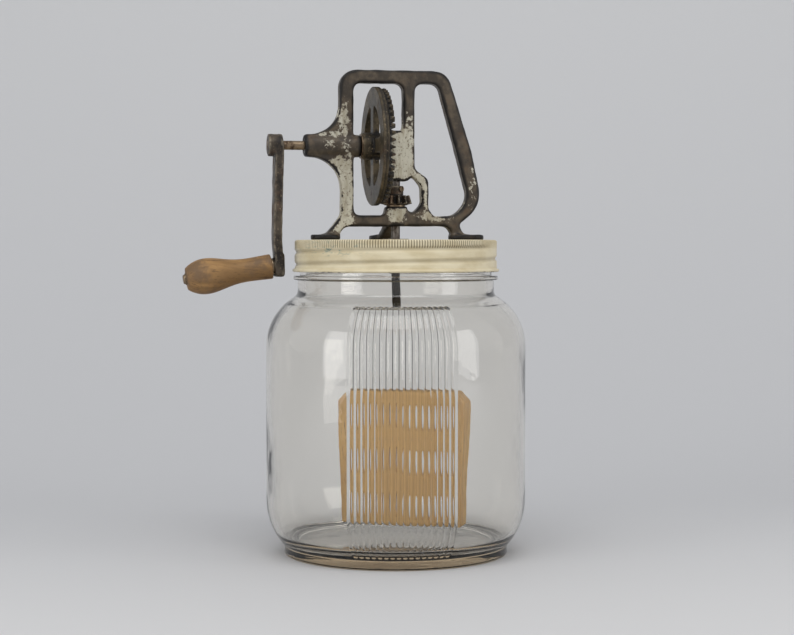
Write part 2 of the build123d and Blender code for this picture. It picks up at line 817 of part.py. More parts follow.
with BuildPart() as pinion:
    with BuildSketch(Plane.XZ):
        with BuildLine():
            Polyline(
                (0, pinion_foot),
                (pinion_root_low, pinion_foot),
                (pinion_root_high, pinion_crown),
                (pinion_hub_radius, pinion_crown),
                (pinion_hub_radius, pinion_hub_top),
                (0, pinion_hub_top),
                close=True,
            )
        make_face()
    revolve(axis=Axis.Z)
    add([pinion_tooth.rotate(Axis.Z, pinion_step * k) for k in range(pinion_teeth)])
    with BuildSketch(Plane.XY.offset(pinion_foot)):
        Circle(dasher_radius)
    extrude(amount=pinion_hub_height, mode=Mode.SUBTRACT)
    with BuildSketch(across_screw(dasher_radius)):
        Circle(pinion_screw_radius)
    extrude(amount=pinion_hub_radius, mode=Mode.SUBTRACT)
pinion.part.label = "pinion"
export_step(pinion.part, "parts/pinion.step")

# Set screw of the pinion, with a slot in its head
pinion_screw_seat = dasher_radius + running_gap
with BuildPart() as pinion_screw:
    with BuildSketch(across_screw(pinion_screw_seat)):
        Circle(pinion_screw_radius)
    extrude(amount=pinion_hub_radius + pinion_screw_proud - pinion_screw_seat)
    with BuildSketch(across_screw(pinion_hub_radius)):
        Rectangle(screw_slot, 3 * pinion_screw_radius)
    extrude(amount=pinion_screw_proud, mode=Mode.SUBTRACT)
pinion_screw.part.label = "pinion_screw"
export_step(pinion_screw.part, "parts/pinion_screw.step")

# Thrust washer under the pinion
with BuildPart() as pinion_washer:
    with BuildSketch(Plane.XY.offset(lower_bearing_end)):
        Circle(pinion_washer_radius)
        Circle(dasher_radius, mode=Mode.SUBTRACT)
    extrude(amount=pinion_washer_thickness)
pinion_washer.part.label = "pinion_washer"
export_step(pinion_washer.part, "parts/pinion_washer.step")

# Dasher shaft, from the closed upper bearing down into the paddle
paddle_top = paddle_bottom + paddle_height
dasher_low = paddle_top - dasher_seat
dasher_high = upper_bearing_end - bearing_cap - dasher_end_gap
paddle_plane = Plane(
    origin=(0, 0, paddle_bottom),
    x_dir=(cos(radians(paddle_turn)), sin(radians(paddle_turn)), 0),
    z_dir=(sin(radians(paddle_turn)), -cos(radians(paddle_turn)), 0),
)
first_row = paddle_height - paddle_top_rail - paddle_hole_radius
row_heights = [first_row - paddle_row_pitch * k for k in range(paddle_rows)]
pin_places = ((0, first_row + 4), (0, first_row - paddle_row_pitch / 2))
with BuildPart() as dasher_shaft:
    with BuildSketch(Plane.XY.offset(dasher_low)):
        Circle(dasher_radius)
    extrude(amount=dasher_high - dasher_low)
    with BuildSketch(paddle_plane):
        with Locations(*pin_places):
            Circle(paddle_pin_radius)
    extrude(amount=dasher_radius, both=True, mode=Mode.SUBTRACT)
dasher_shaft.part.label = "dasher_shaft"
export_step(dasher_shaft.part, "parts/dasher_shaft.step")

# Wooden paddle: a thick board with rows of round holes, set a little off the shaft
hole_reach = paddle_bottom_width / 2 - paddle_margin - paddle_hole_radius
hole_places = [(paddle_offset + side * hole_reach, height) for height in row_heights for side in (-1, 1)]
left_top, right_top = (paddle_offset + side * paddle_top_width / 2 for side in (-1, 1))
left_bottom, right_bottom = (paddle_offset + side * paddle_bottom_width / 2 for side in (-1, 1))
with BuildPart() as dasher_paddle:
    with BuildSketch(paddle_plane):
        with BuildLine():
            Polyline(
                (left_bottom, 0),
                (left_top, paddle_height - paddle_corner),
                (left_top + paddle_corner, paddle_height),
                (right_top - paddle_corner, paddle_height),
                (right_top, paddle_height - paddle_corner),
                (right_bottom, 0),
                close=True,
            )
        make_face()
    extrude(amount=paddle_thickness / 2, both=True)
    fillet(dasher_paddle.edges(), paddle_rounding)
    with BuildSketch(paddle_plane):
        with Locations(*hole_places):
            Circle(paddle_hole_radius)
        with Locations(*pin_places):
            Circle(paddle_pin_radius)
    extrude(amount=paddle_thickness, both=True, mode=Mode.SUBTRACT)
    with BuildSketch(Plane.XY.offset(dasher_low)):
        Circle(dasher_radius)
    extrude(amount=dasher_seat, mode=Mode.SUBTRACT)
dasher_paddle.part.label = "dasher_paddle"
export_step(dasher_paddle.part, "parts/dasher_paddle.step")

# Cross pins of the paddle
with BuildPart() as paddle_pins:
    with BuildSketch(paddle_plane):
        with Locations(*pin_places):
            Circle(paddle_pin_radius)
    extrude(amount=paddle_thickness / 2 - pin_sink, both=True)
paddle_pins.part.label = "paddle_pins"
export_step(paddle_pins.part, "parts/paddle_pins.step")
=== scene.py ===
"""The looks of the glass jar butter churn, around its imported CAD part. Metres, +Z up."""

import json
import math

import bpy
import numpy as np
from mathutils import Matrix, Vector, noise

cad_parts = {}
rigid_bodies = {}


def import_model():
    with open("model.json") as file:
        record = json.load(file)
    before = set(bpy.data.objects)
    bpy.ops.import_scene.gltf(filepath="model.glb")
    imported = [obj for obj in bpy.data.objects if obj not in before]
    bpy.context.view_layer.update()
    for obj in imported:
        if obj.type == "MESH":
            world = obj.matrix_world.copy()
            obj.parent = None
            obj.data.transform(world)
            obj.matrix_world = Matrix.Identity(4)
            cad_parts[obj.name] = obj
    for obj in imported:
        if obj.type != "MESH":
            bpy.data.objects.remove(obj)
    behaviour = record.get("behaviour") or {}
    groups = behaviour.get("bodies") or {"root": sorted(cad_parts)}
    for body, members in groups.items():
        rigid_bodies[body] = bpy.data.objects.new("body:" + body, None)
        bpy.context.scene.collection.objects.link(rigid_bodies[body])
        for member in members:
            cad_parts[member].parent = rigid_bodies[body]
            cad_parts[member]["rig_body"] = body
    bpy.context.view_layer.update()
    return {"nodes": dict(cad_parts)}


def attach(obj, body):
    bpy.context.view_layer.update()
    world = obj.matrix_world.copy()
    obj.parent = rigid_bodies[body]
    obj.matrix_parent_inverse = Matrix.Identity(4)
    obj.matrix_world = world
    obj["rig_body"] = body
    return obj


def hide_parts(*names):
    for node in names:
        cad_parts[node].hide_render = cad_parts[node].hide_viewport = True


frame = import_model()
scene = bpy.context.scene
nodes = frame["nodes"]
node_body = {name: part["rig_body"] for name, part in nodes.items()}
MM = 0.001

# Camera, as read from the photo
CAMERA_PLACE = (-0.261, -1.197, 0.212)
CAMERA_TURN = -12.3 - 0.043
CAMERA_PITCH = 2.21
CAMERA_LENS = 79.3


def rgb(red, green, blue):
    """A colour given as on screen, 0 to 255, as linear light with alpha."""
    made = []
    for part in (red, green, blue):
        share = part / 255
        made.append(share / 12.92 if share <= 0.04045 else ((share + 0.055) / 1.055) ** 2.4)
    return (*made, 1.0)


# Materials
class Shade:
    """A material with one Principled shader, and short calls for the nodes that feed it."""

    def __init__(self, name, color=None, roughness=0.5, metallic=0.0, **more):
        self.material = bpy.data.materials.new(name)
        self.material.use_nodes = True
        self.tree = self.material.node_tree
        self.tree.nodes.clear()
        output = self.tree.nodes.new("ShaderNodeOutputMaterial")
        self.shader = self.tree.nodes.new("ShaderNodeBsdfPrincipled")
        self.tree.links.new(self.shader.outputs[0], output.inputs["Surface"])
        self.set("Roughness", roughness)
        self.set("Metallic", metallic)
        if color is not None:
            self.set("Base Color", color)
        for key, value in more.items():
            self.set(key.replace("_", " "), value)
        self.where = None

    def put(self, socket, value):
        if isinstance(value, bpy.types.NodeSocket):
            self.tree.links.new(value, socket)
        else:
            socket.default_value = value

    def set(self, socket, value):
        self.put(self.shader.inputs[socket], value)

    def add(self, kind, inputs, output=0, **settings):
        made = self.tree.nodes.new("ShaderNode" + kind)
        for key, value in settings.items():
            setattr(made, key, value)
        for key, value in inputs.items():
            self.put(made.inputs[key], value)
        return made.outputs[output]

    def place(self, stretch=(1, 1, 1), shift=0.0, turn=(0, 0, 0)):
        if self.where is None:
            self.where = self.add("TexCoord", {}, "Object")
        return self.add(
            "Mapping",
            {"Vector": self.where, "Scale": stretch, "Location": (shift, 1.7 * shift, -shift), "Rotation": turn},
        )

    def noise(self, scale, detail=4.0, rough=0.55, stretch=(1, 1, 1), shift=0.0, warp=0.0, turn=(0, 0, 0)):
        at = self.place(stretch, shift, turn)
        sizes = {"Vector": at, "Scale": scale, "Detail": detail, "Roughness": rough, "Distortion": warp}
        return self.add("TexNoise", sizes)

    def cells(self, scale, shift=0.0, stretch=(1, 1, 1)):
        return self.add("TexVoronoi", {"Vector": self.place(stretch, shift), "Scale": scale})

    def step(self, value, low, high):
        inputs = {"Value": value, "From Min": low, "From Max": high}
        return self.add("MapRange", inputs, interpolation_type="SMOOTHSTEP")

    def calc(self, operation, first, second=0.0):
        return self.add("Math", {0: first, 1: second}, operation=operation)

    def mix(self, share, first, second, blend="MIX"):
        inputs = {0: share, 6: first, 7: second}
        return self.add("Mix", inputs, 2, data_type="RGBA", blend_type=blend)

    def blend(self, share, first, second):
        return self.add("Mix", {0: share, 2: first, 3: second}, 0, data_type="FLOAT")

    def attribute(self, name):
        return self.add("Attribute", {}, "Fac", attribute_name=name)

    def height(self):
        """The point's height in the row frame, in metres."""
        if self.where is None:
            self.place()
        return self.add("SeparateXYZ", {"Vector": self.where}, "Z")

    def bump(self, value, distance, strength=1.0):
        inputs = {"Height": value, "Distance": distance, "Strength": strength}
        self.set("Normal", self.add("Bump", inputs))


def iron_color(shade, dark, light, rust, rust_from=0.52, rust_to=0.66, edges=None):
    """Mottled iron with brown rust and the rust's share; grooves dark with painted shade and dirt, ridges with painted
    glints or a given edge colour of painted shade.
    """
    mottle = shade.noise(90, 6, 0.62)
    body = shade.mix(shade.step(mottle, 0.38, 0.64), dark, light)
    spread = shade.step(shade.noise(55, 8, 0.68, shift=3.1), rust_from, rust_to)
    body = shade.mix(spread, body, rust)
    ridge = shade.attribute("ridge")
    # Painted shade with dirt: the grooves darkened to near black.
    body = shade.mix(shade.step(ridge, -0.12, -0.6), body, rgb(24, 21, 19))
    # The given edge colour darkens the ridges: painted shade, with dirt.
    if edges is not None:
        return shade.mix(shade.step(ridge, 0.2, 0.8), body, edges), spread
    # Otherwise the ridges get painted highlights broken by noise, on worn bright metal.
    painted_glint = shade.calc("MULTIPLY", shade.step(ridge, 0.35, 1.0), shade.step(shade.noise(240, 4, 0.6, shift=8.3), 0.35, 0.6))
    return shade.mix(shade.calc("MULTIPLY", painted_glint, 0.6), body, rgb(150, 140, 122)), spread


def painted_casting():
    shade = Shade("painted_casting", roughness=0.6)
    # The last colour is painted shade with dirt along the casting's ridges; its grooves get painted shade too.
    iron, rust = iron_color(shade, rgb(64, 57, 49), rgb(96, 85, 71), rgb(98, 76, 56), 0.50, 0.78, rgb(22, 19, 17))
    flecks = shade.noise(420, 5, 0.7, shift=1.3)
    breakup = shade.noise(130, 8, 0.72, shift=5.2)
    worn = shade.calc("ADD", shade.calc("MULTIPLY", breakup, 1.15), shade.calc("MULTIPLY", flecks, 0.75))
    level = shade.calc("ADD", worn, shade.attribute("paint"))
    level = shade.calc("SUBTRACT", level, shade.calc("MULTIPLY", shade.step(shade.attribute("ridge"), 0.35, 1.1), 0.42))
    paint = shade.step(level, 1.27, 1.31)
    edge = shade.step(level, 1.19, 1.28)
    streaks = shade.noise(150, 6, 0.62, stretch=(1, 1, 0.28), shift=7.7)
    dirt = shade.mix(shade.step(streaks, 0.40, 0.66), rgb(192, 188, 172), rgb(158, 150, 130))
    specks = shade.step(shade.noise(560, 5, 0.68, shift=9.4), 0.55, 0.62)
    dirt = shade.mix(shade.calc("MULTIPLY", specks, 0.8), dirt, rgb(96, 80, 62))
    fringe = shade.mix(edge, iron, rgb(78, 64, 50))
    shade.set("Base Color", shade.mix(paint, fringe, dirt))
    shade.set("Roughness", shade.blend(paint, shade.blend(rust, 0.42, 0.75), 0.62))
    shade.set("Metallic", shade.calc("MULTIPLY", shade.calc("SUBTRACT", 1.0, edge), 0.35))
    grain = shade.calc("ADD", shade.calc("MULTIPLY", shade.noise(900, 4, 0.6), 0.5), shade.calc("MULTIPLY", paint, 0.5))
    shade.bump(shade.calc("ADD", grain, shade.calc("MULTIPLY", breakup, 0.5)), 0.0005, 0.8)
    return shade.material


def bare_iron(name, dark, light, rust, rust_from=0.5, rust_to=0.64, shine=0.4):
    shade = Shade(name)
    color, spread = iron_color(shade, dark, light, rust, rust_from, rust_to)
    specks = shade.step(shade.noise(700, 4, 0.7, shift=2.2), 0.60, 0.70)
    shade.set("Base Color", shade.mix(specks, color, rgb(150, 132, 108)))
    shade.set("Roughness", shade.blend(spread, shine, 0.75))
    shade.set("Metallic", shade.blend(spread, 0.55, 0.15))
    grain = shade.calc("ADD", shade.noise(800, 5, 0.65), shade.calc("MULTIPLY", spread, 0.5))
    shade.bump(grain, 0.0004, 0.8)
    return shade.material


def steel(name, color, stain, from_level=0.5, to_level=0.66):
    shade = Shade(name, metallic=0.75)
    stains = shade.step(shade.noise(160, 7, 0.68, shift=4.4), from_level, to_level)
    shade.set("Base Color", shade.mix(stains, color, stain))
    shade.set("Roughness", shade.blend(stains, 0.34, 0.68))
    shade.bump(shade.noise(1200, 4, 0.6), 0.0002, 0.7)
    return shade.material


def shaft_steel():
    """Bright above the cap, dark and pitted below it."""
    shade = Shade("shaft_steel", metallic=0.75)
    stains = shade.step(shade.noise(190, 8, 0.7, stretch=(1, 1, 0.5)), 0.46, 0.62)
    upper = shade.mix(stains, rgb(118, 112, 106), rgb(62, 50, 42))
    lower = shade.mix(stains, rgb(22, 19, 17), rgb(58, 51, 44))
    share = shade.step(shade.height(), 0.214, 0.222)
    shade.set("Base Color", shade.mix(share, lower, upper))
    shade.set("Roughness", shade.blend(stains, 0.36, 0.66))
    shade.bump(shade.noise(700, 6, 0.7), 0.0004, 0.9)
    return shade.material


def wood(name, light, dark, figure, axis_stretch, turn=(0, 0, 0), soil=None, shine=0.55):
    """Wood with grain along the stretched axis. Soil is a darker colour from handling."""
    shade = Shade(name)
    rings = shade.noise(95, 6, 0.55, stretch=axis_stretch, warp=0.7, turn=turn)
    pores = shade.noise(900, 3, 0.6, stretch=axis_stretch, turn=turn, shift=0.6)
    color = shade.mix(shade.step(rings, 0.36, 0.64), light, dark)
    color = shade.mix(shade.step(pores, 0.56, 0.70), color, figure)
    if soil is not None:
        color = shade.mix(shade.step(shade.noise(60, 5, 0.6, shift=9.1), 0.48, 0.66), color, soil)
    shade.set("Base Color", color)
    shade.set("Roughness", shade.blend(shade.step(pores, 0.4, 0.7), shine, shine + 0.15))
    shade.bump(shade.calc("ADD", pores, shade.calc("MULTIPLY", rings, 0.6)), 0.0004, 0.55)
    return shade.material


def cap_paint():
    shade = Shade("cap_paint", roughness=0.5)
    tone = shade.noise(45, 5, 0.55, stretch=(1, 1, 2.5))
    cream = shade.mix(shade.step(tone, 0.36, 0.66), rgb(222, 211, 181), rgb(206, 192, 157))
    cream = shade.mix(shade.calc("MULTIPLY", shade.attribute("dirt"), 0.85), cream, rgb(92, 78, 50))
    scratch = shade.noise(170, 6, 0.7, stretch=(1, 1, 5), shift=2.4)
    blue = shade.calc("MULTIPLY", shade.step(scratch, 0.56, 0.60), shade.attribute("scuff"))
    cream = shade.mix(blue, cream, rgb(120, 138, 126))
    chips = shade.calc("ADD", shade.noise(260, 7, 0.7, shift=6.3), shade.attribute("chip"))
    bare = shade.step(chips, 0.86, 0.90)
    shade.set("Base Color", shade.mix(bare, cream, rgb(58, 50, 42)))
    shade.set("Roughness", shade.blend(bare, 0.42, 0.7))
    grain = shade.calc("SUBTRACT", shade.noise(320, 5, 0.6), bare)
    shade.bump(grain, 0.0002, 0.6)
    return shade.material


def rubber():
    shade = Shade("rubber", rgb(120, 66, 44), 0.7)
    shade.bump(shade.noise(500, 5, 0.6), 0.0003, 0.6)
    return shade.material


def glass():
    shade = Shade("glass", (0.98, 0.975, 0.955, 1), 0.0, IOR=1.5, Transmission_Weight=1.0)
    shade.bump(shade.noise(38, 2, 0.4), 0.0006, 0.35)
    tint = shade.tree.nodes.new("ShaderNodeVolumeAbsorption")
    tint.inputs["Color"].default_value = (0.70, 0.49, 0.14, 1)
    tint.inputs["Density"].default_value = 8.5
    output = next(node for node in shade.tree.nodes if node.type == "OUTPUT_MATERIAL")
    shade.tree.links.new(tint.outputs[0], output.inputs["Volume"])
    return shade.material


GLASS = glass()
CASTING = painted_casting()
DARK_IRON = bare_iron("dark_iron", rgb(38, 34, 32), rgb(84, 75, 64), rgb(78, 58, 44), 0.50, 0.68)
GEAR_IRON = bare_iron("gear_iron", rgb(52, 46, 35), rgb(94, 83, 64), rgb(76, 54, 38), 0.54, 0.72)
RUSTY_IRON = bare_iron("rusty_iron", rgb(40, 35, 31), rgb(78, 66, 54), rgb(98, 72, 52), 0.48, 0.66)
STEEL = steel("worn_steel", rgb(134, 116, 94), rgb(70, 52, 40))
TIN = steel("dull_tin", rgb(140, 132, 118), rgb(96, 78, 60))
SHAFT = shaft_steel()
CAP = cap_paint()
RUBBER = rubber()
GRIP_WOOD = wood(
    "grip_wood", rgb(170, 130, 78), rgb(130, 97, 56), rgb(98, 72, 46), (0.12, 1, 1), (0, 0.147, 0), rgb(112, 86, 58)
)
PADDLE_WOOD = wood("paddle_wood", rgb(232, 188, 114), rgb(210, 162, 92), rgb(168, 122, 68), (1, 1, 0.08))


# Pieces
def dress(piece, material, node=None, *others):
    """Gives a piece its material, and lets it ride for the nodes that it stands for."""
    piece.data.materials.clear()
    piece.data.materials.append(material)
    if node is not None:
        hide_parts(node, *others)
        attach(piece, node_body[node])
    return piece


def mesh_object(name, points, faces, sharp=None):
    mesh = bpy.data.meshes.new(name)
    mesh.from_pydata([tuple(point) for point in points], [], [tuple(face) for face in faces])
    mesh.update()
    for polygon in mesh.polygons:
        polygon.use_smooth = True
    if sharp is not None:
        mesh.set_sharp_from_angle(angle=math.radians(sharp))
    made = bpy.data.objects.new(name, mesh)
    scene.collection.objects.link(made)
    return made


def point_values(piece, name, values):
    layer = piece.data.attributes.get(name) or piece.data.attributes.new(name, "FLOAT", "POINT")
    layer.data.foreach_set("value", np.asarray(values, np.float32))


def points_of(piece):
    found = np.empty(len(piece.data.vertices) * 3)
    piece.data.vertices.foreach_get("co", found)
    return found.reshape(-1, 3)


def lathe(name, grid, closed_rows=False, poles=False, sharp=None):
    """A surface from a grid of points: rows along the profile, columns round the axis."""
    rows, columns = grid.shape[:2]
    count = rows * columns
    points = grid.reshape(-1, 3)
    low = np.arange(rows if closed_rows else rows - 1)
    row, column = np.meshgrid(low, np.arange(columns), indexing="ij")
    following, beside = (row + 1) % rows, (column + 1) % columns
    corners = [row * columns + column, row * columns + beside, following * columns + beside, following * columns + column]
    faces = np.stack(corners, -1).reshape(-1, 4).tolist()
    if poles:
        points = np.vstack([points, [0, 0, grid[0, 0, 2]], [0, 0, grid[-1, 0, 2]]])
        last = (rows - 1) * columns
        for k in range(columns):
            beside_k = (k + 1) % columns
            faces.append((count, beside_k, k))
            faces.append((count + 1, last + k, last + beside_k))
    return mesh_object(name, points, faces, sharp)


def arc(center, radius, start, end, step):
    count = max(2, math.ceil(radius * abs(math.radians(end - start)) / step))
    angles = np.radians(np.linspace(start, end, count + 1))
    return np.c_[center[0] + radius * np.cos(angles), center[1] + radius * np.sin(angles)]


def straight(start, end, step):
    count = max(1, math.ceil(math.dist(start, end) / step))
    return np.linspace(start, end, count + 1)


def chain(*runs):
    """Runs of points joined to one line, without the points that repeat."""
    points = np.vstack(runs)
    keep = np.r_[True, np.linalg.norm(np.diff(points, axis=0), axis=1) > 1e-6]
    return points[keep]


def ease_corners(points, reach, least=14):
    """The line with each corner sharper than least degrees cut round over reach on both sides."""
    made = [points[0]]
    for before, here, after in zip(points[:-2], points[1:-1], points[2:]):
        into, out = here - before, after - here
        turn = abs(math.degrees(math.atan2(into[0] * out[1] - into[1] * out[0], into @ out)))
        if turn < least:
            made.append(here)
            continue
        back = min(reach, np.linalg.norm(into) * 0.45)
        ahead = min(reach, np.linalg.norm(out) * 0.45)
        first = here - into / np.linalg.norm(into) * back
        last = here + out / np.linalg.norm(out) * ahead
        for share in np.linspace(0, 1, 6):
            made.append((1 - share) ** 2 * first + 2 * share * (1 - share) * here + share**2 * last)
    made.append(points[-1])
    return np.array(made)


def flow(points, low, high, passes=60):
    """The line with its points between two heights eased towards their neighbours."""
    made = points.copy()
    inside = (made[:, 1] > low) & (made[:, 1] < high)
    inside[0] = inside[-1] = False
    for _ in range(passes):
        middle = (made[:-2] + made[2:]) / 2
        made[1:-1] = np.where(inside[1:-1, None], (made[1:-1] + middle) / 2, made[1:-1])
    return made


def normals_of(points):
    """Unit normals of a profile, on its right-hand side as it runs."""
    along = np.gradient(points, axis=0)
    along /= np.linalg.norm(along, axis=1)[:, None]
    return np.c_[along[:, 1], -along[:, 0]]


# Jar sizes in millimetres, as in the part
JAR_RADIUS, JAR_WALL, JAR_FLOOR, RIM = 90.8, 4.0, 9.0, 216.8
HEEL, SHOULDER = (43.8, 38.0), (50.8, 145.0)
HEEL_RADIUS, SHOULDER_RADIUS = 47.0, 40.0
NECK, BORE, FINISH = 68.6, 63.6, 67.2
FLUTES, FLUTE_PITCH, FLUTE_MIDDLE = 16, 2.95, -9.3 - 90
FLUTE_RADIUS, FLUTE_DEPTH = 4.0, 0.85
FLUTE_LOW, FLUTE_HIGH = -36.0, 44.0
FLUTE_STEPS = 12
THREAD_PITCH = 8.4
GEAR_AXIS = 284.1


def jar_columns():
    """Angles round the jar in degrees, close together where the flutes are."""
    half = FLUTES * FLUTE_PITCH / 2
    band = np.linspace(-half, half, FLUTES * FLUTE_STEPS + 1)[:-1]
    beside = np.array([0.0, 0.04, 0.12, 0.4])
    rest = np.linspace(half + 1.2, 360 - half - 1.2, 200)
    return np.r_[band, half + beside, rest, 360 - half - beside[:0:-1]] + FLUTE_MIDDLE


def flute_cut(radius, beyond, angles):
    """How deep the flutes cut at a radius, at a distance beyond their ends, in millimetres."""
    offset = (angles - FLUTE_MIDDLE + 180) % 360 - 180
    nearest = np.clip(np.round(offset / FLUTE_PITCH - 0.5), -FLUTES / 2, FLUTES / 2 - 1) + 0.5
    across = np.radians(offset - nearest * FLUTE_PITCH)
    sideways = radius * np.sin(across)
    room = FLUTE_RADIUS**2 - sideways**2 - (0.9 * beyond) ** 2
    reach = np.sqrt(np.maximum(room, 0)) - (FLUTE_RADIUS - FLUTE_DEPTH)
    return np.maximum(reach - radius * (1 - np.cos(across)), 0) * (np.abs(across) < 0.2)


def jar_outline():
    """The jar's outer profile from the foot up."""
    heel_start = -math.degrees(math.acos((79.0 - HEEL[0]) / HEEL_RADIUS))
    shoulder_end = math.degrees(math.acos((NECK - SHOULDER[0]) / SHOULDER_RADIUS))
    near = 5.0
    low, high = FLUTE_LOW, FLUTE_HIGH
    heel = chain(
        arc(HEEL, HEEL_RADIUS, heel_start, low - near, 0.8),
        arc(HEEL, HEEL_RADIUS, low - near, low + near, 0.35),
        arc(HEEL, HEEL_RADIUS, low + near, 0, 1.5),
    )
    shoulder = chain(
        arc(SHOULDER, SHOULDER_RADIUS, 0, high - near, 1.5),
        arc(SHOULDER, SHOULDER_RADIUS, high - near, high + near, 0.3),
    )
    foot = chain(straight((6, 0.6), (70, 0.6), 8), [(72.0, 0.0), (78.2, 0.0), (78.2, heel[0][1])])
    bead = [(NECK, 191.2), (NECK + 2.9, 191.2), (NECK + 2.9, 194.2), (FINISH, 194.2)]
    finish = straight((FINISH, 194.6), (FINISH, RIM), 0.5)
    rise = arc(SHOULDER, SHOULDER_RADIUS, high + near, shoulder_end, 0.5)
    neck = flow(chain(rise, straight(rise[-1], (NECK, 191.2), 0.5)), 177, 186, 30)
    outer = chain(foot, heel, straight(heel[-1], shoulder[0], 3), shoulder, neck, bead, finish)
    return ease_corners(outer, 1.1)


def beyond_flutes(radius, height):
    """Distance past the flutes' ends along the wall, and a large one where no flute can be."""
    if height < 40:
        angle = math.degrees(math.atan2(height - HEEL[1], radius - HEEL[0]))
        return max(0.0, math.radians(FLUTE_LOW - angle) * HEEL_RADIUS)
    angle = math.degrees(math.atan2(height - SHOULDER[1], radius - SHOULDER[0]))
    return 99.0 if height > 188 else max(0.0, math.radians(angle - FLUTE_HIGH) * SHOULDER_RADIUS)


def thread_ridge(height, angles):
    """The jar's screw thread: how far it stands out of the finish at a height, in millimetres."""
    start, turns, top = 202.2, 1.5, 2.0
    best = np.zeros_like(angles)
    for lap in (-1, 0, 1, 2):
        turned = (angles % 360) + 360 * lap
        middle = start + THREAD_PITCH * turned / 360
        away = np.abs(height - middle)
        shape = np.clip((1.7 - away) / 1.0, 0, 1)
        ends = np.clip(turned / 14, 0, 1) * np.clip((360 * turns - turned) / 14, 0, 1)
        best = np.maximum(best, shape * ends)
    return top * best * best * (3 - 2 * best)


def inner_corner(start, radius, end):
    """The rounded way from the inner heel down to the jar's floor."""
    across, up = (start[0] - HEEL[0]) / radius, (start[1] - HEEL[1]) / radius
    drop = (start[1] - JAR_FLOOR) / across
    bend = (start[0] + up * drop, JAR_FLOOR)
    steps = np.linspace(0, 1, 18)[1:]
    return [((1 - t) ** 2 * start[0] + 2 * t * (1 - t) * bend[0] + t * t * end,
             (1 - t) ** 2 * start[1] + (1 - (1 - t) ** 2) * JAR_FLOOR) for t in steps]


def make_jar():
    angles = jar_columns()
    outer = jar_outline()
    sideways = normals_of(outer)
    rows = []
    for (radius, height), (out, up) in zip(outer, sideways):
        cut = flute_cut(radius, beyond_flutes(radius, height), angles)
        ridge = thread_ridge(height, angles) if 196 < height < RIM - 0.5 else 0
        rows.append((radius - cut * out + ridge, height - cut * up + 0 * angles))
    inner_heel, inner_shoulder = HEEL_RADIUS - JAR_WALL, SHOULDER_RADIUS - JAR_WALL
    heel_start = -math.degrees(math.asin((HEEL[1] - JAR_FLOOR - 8.5) / inner_heel))
    shoulder_end = math.degrees(math.acos((BORE - SHOULDER[0]) / inner_shoulder))
    bowl = arc(HEEL, inner_heel, 0, heel_start, 1.2)
    inside = chain(
        [(BORE, RIM)],
        straight((BORE, RIM - 1.5), (BORE, 198), 3),
        flow(chain(
            straight((BORE, 198), (BORE, SHOULDER[1] + inner_shoulder * math.sin(math.radians(shoulder_end))), 0.8),
            arc(SHOULDER, inner_shoulder, shoulder_end, 0, 0.8),
        ), 172, 186, 60),
        straight((JAR_RADIUS - JAR_WALL, SHOULDER[1]), (JAR_RADIUS - JAR_WALL, HEEL[1]), 4),
        bowl,
        inner_corner(bowl[-1], inner_heel, 61.0),
        straight((60.0, JAR_FLOOR), (8, JAR_FLOOR), 7),
    )
    inside = ease_corners(inside, 1.4)
    swing = np.radians(angles)
    for radius, height in inside:
        wave = np.sin(2 * swing + 1.3 + height / 31) + 0.6 * np.sin(5 * swing + 2 - height / 19)
        wave += 0.45 * np.sin(9 * swing + height / 13)
        share = 0.16 * min(1.0, max(0.0, (RIM - 4 - height) / 20))
        flat = 0.12 * math.sin(radius / 9) if height < JAR_FLOOR + 0.5 else 0
        rows.append((radius - share * (1.6 + wave) * min(1, radius / 40), height + flat + 0 * angles))
    grid = np.array([[r * np.cos(swing), r * np.sin(swing), z] for r, z in rows]).transpose(0, 2, 1) * MM
    return dress(lathe("jar_glass", grid, poles=True, sharp=38), GLASS, "glass_jar")


